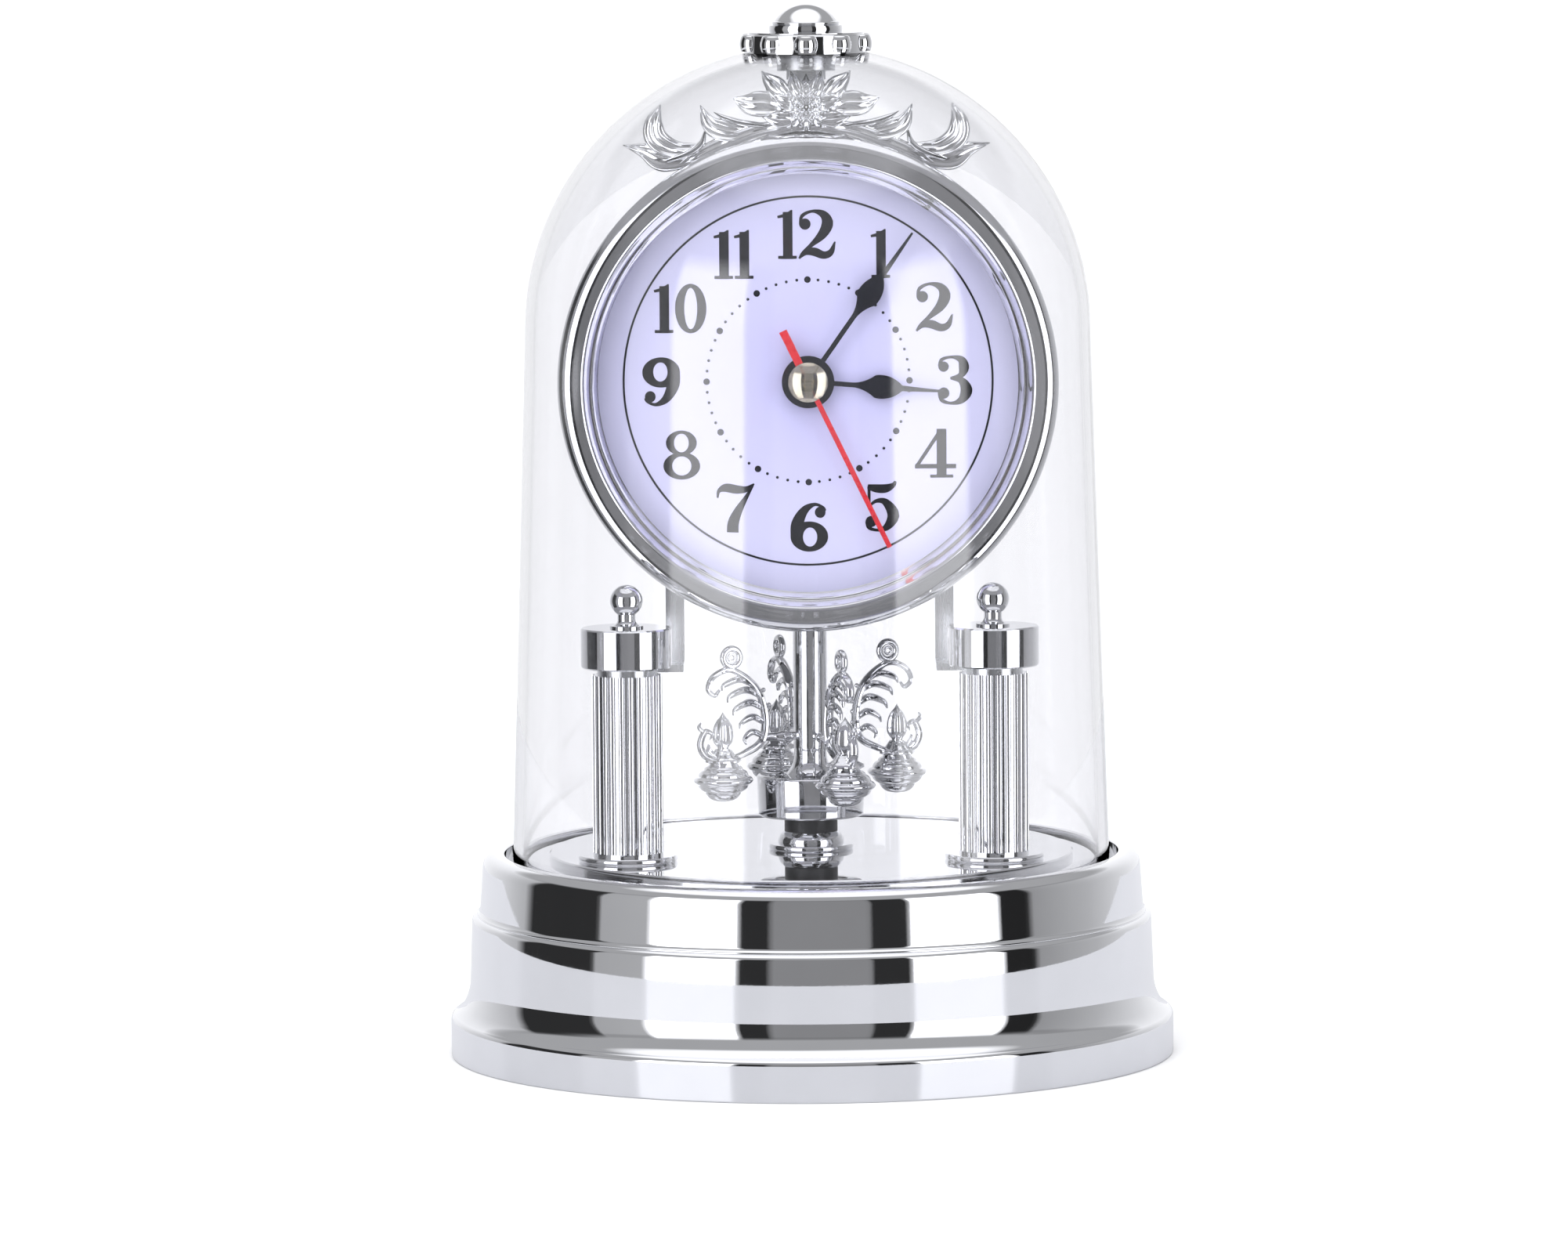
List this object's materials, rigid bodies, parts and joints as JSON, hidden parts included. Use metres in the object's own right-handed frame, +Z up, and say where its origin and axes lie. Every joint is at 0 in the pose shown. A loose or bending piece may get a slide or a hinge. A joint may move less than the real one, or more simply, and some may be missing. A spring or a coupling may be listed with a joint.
{
  "type": "anniversary clock",
  "caption": "Domed anniversary clock: round stepped base, fluted columns, round dial head with leaf crest, rotary pendulum with scroll ornaments, lift-off clear dome.",
  "frame": {"origin": "centre of the underside of the base", "axes": "+Z up, front (dial) towards -Y, +X to the right as seen from the front"},
  "size_m": [0.15, 0.15, 0.2172],
  "materials": {
    "chrome_plating": "bright vacuum-metallised plastic",
    "bracket_plating": "bright plated strip",
    "clear_plastic": "clear polystyrene, polished",
    "black_plastic": "fine moulded texture",
    "grey_plastic": "moulded, satin",
    "white_gear_plastic": "acetal",
    "rubber": "matt",
    "zinc_steel": "zinc plated",
    "yoke_steel": "soft iron, bare",
    "magnet": "nickel plated magnet",
    "copper_winding": "enamelled copper wire",
    "circuit_board": "lacquered laminate",
    "battery_label": "plain printed sleeve",
    "brass": "polished",
    "dial_lavender": "printed card, satin varnish",
    "black_hand": "satin black lacquer",
    "red_hand": "gloss red lacquer"
  },
  "bodies": {
    "frame": {"base_bottom_cover": "black_plastic", "base_feet": "rubber", "base_screws": "zinc_steel", "base_shell": "chrome_plating", "battery_contacts": "zinc_steel", "bezel_ring": "chrome_plating", "column_capital_left": "chrome_plating", "column_capital_right": "chrome_plating", "column_finial_left": "chrome_plating", "column_finial_right": "chrome_plating", "column_foot_left": "chrome_plating", "column_foot_right": "chrome_plating", "column_shaft_left": "chrome_plating", "column_shaft_right": "chrome_plating", "column_tie_rods": "zinc_steel", "crest_ornament": "chrome_plating", "dial_lens": "clear_plastic", "dial_plate": "dial_lavender", "drive_coil": "copper_winding", "driver_board": "circuit_board", "fixing_nut": "brass", "guide_bush": "brass", "head_bracket_left": "bracket_plating", "head_bracket_right": "bracket_plating", "head_case": "grey_plastic", "head_rear_cover": "black_plastic", "head_screws": "zinc_steel", "motor_coil": "copper_winding", "motor_stator": "yoke_steel", "movement_battery": "battery_label", "movement_board": "circuit_board", "movement_case": "black_plastic", "movement_cover": "grey_plastic", "pedestal_bearing": "black_plastic", "pendulum_battery": "battery_label", "pendulum_pedestal": "chrome_plating", "platform_plate": "chrome_plating"},
    "dome": {"glass_dome": "clear_plastic", "finial_rosette": "chrome_plating", "finial_cap": "chrome_plating", "finial_nut": "zinc_steel"},
    "pendulum": {"pendulum_spindle": "zinc_steel", "pendulum_stem": "chrome_plating", "pendulum_hub": "chrome_plating", "hub_magnets": "magnet", "pendulum_weights": "chrome_plating", "scroll_arms": "chrome_plating"},
    "battery_door": {"base_battery_door": "black_plastic"},
    "second_train": {"second_wheel": "white_gear_plastic", "second_hand": "red_hand", "hand_cap": "brass"},
    "minute_train": {"minute_wheel": "white_gear_plastic", "minute_hand": "black_hand"},
    "hour_train": {"hour_wheel": "white_gear_plastic", "hour_hand": "black_hand"},
    "rotor": {"motor_rotor": "magnet"},
    "intermediate": {"intermediate_wheel": "white_gear_plastic"},
    "third": {"third_wheel": "white_gear_plastic"},
    "motion": {"motion_wheel": "white_gear_plastic"},
    "knob": {"setting_knob": "grey_plastic"}
  },
  "joints": [
    {"name": "dome_lift", "type": "slide", "parent": "frame", "child": "dome", "axis": [0, 0, 1], "range_m": [0, 0.18]},
    {"name": "pendulum_turn", "type": "hinge", "parent": "frame", "child": "pendulum", "pos_m": [0, 0, 0.0447], "axis": [0, 0, 1], "range_deg": [-135, 135]},
    {"name": "battery_door_hinge", "type": "hinge", "parent": "frame", "child": "battery_door", "pos_m": [0, 0.03095, 0.00225], "axis": [-1, 0, 0], "range_deg": [0, 100]},
    {"name": "second_hand_spin", "type": "hinge", "parent": "frame", "child": "second_train", "pos_m": [0, 0.0066, 0.1397], "axis": [0, 1, 0], "continuous": true},
    {"name": "minute_hand_spin", "type": "hinge", "parent": "frame", "child": "minute_train", "pos_m": [0, 0.0046, 0.1397], "axis": [0, 1, 0], "continuous": true},
    {"name": "hour_hand_spin", "type": "hinge", "parent": "frame", "child": "hour_train", "pos_m": [0, 0.0011, 0.1397], "axis": [0, 1, 0], "continuous": true},
    {"name": "rotor_spin", "type": "hinge", "parent": "frame", "child": "rotor", "pos_m": [0.01338, 0.008, 0.14869], "axis": [0, 1, 0], "continuous": true},
    {"name": "intermediate_spin", "type": "hinge", "parent": "frame", "child": "intermediate", "pos_m": [0.00585, 0.009, 0.14667], "axis": [0, 1, 0], "continuous": true},
    {"name": "third_wheel_spin", "type": "hinge", "parent": "frame", "child": "third", "pos_m": [-0.00846, 0.006, 0.14278], "axis": [0, 1, 0], "continuous": true},
    {"name": "motion_wheel_spin", "type": "hinge", "parent": "frame", "child": "motion", "pos_m": [-0.00125, 0.002, 0.14679], "axis": [0, 1, 0], "continuous": true},
    {"name": "setting_knob_spin", "type": "hinge", "parent": "frame", "child": "knob", "pos_m": [-0.00485, 0.015, 0.15303], "axis": [0, 1, 0], "continuous": true}
  ],
  "couplings": [
    {"joint": "third_wheel_spin", "follows": "second_hand_spin", "ratio": -0.13333},
    {"joint": "minute_hand_spin", "follows": "second_hand_spin", "ratio": 0.016667},
    {"joint": "motion_wheel_spin", "follows": "second_hand_spin", "ratio": -0.0055556},
    {"joint": "hour_hand_spin", "follows": "second_hand_spin", "ratio": 0.0013889},
    {"joint": "setting_knob_spin", "follows": "second_hand_spin", "ratio": 0.016667},
    {"joint": "intermediate_spin", "follows": "second_hand_spin", "ratio": -6},
    {"joint": "rotor_spin", "follows": "second_hand_spin", "ratio": 30}
  ]
}
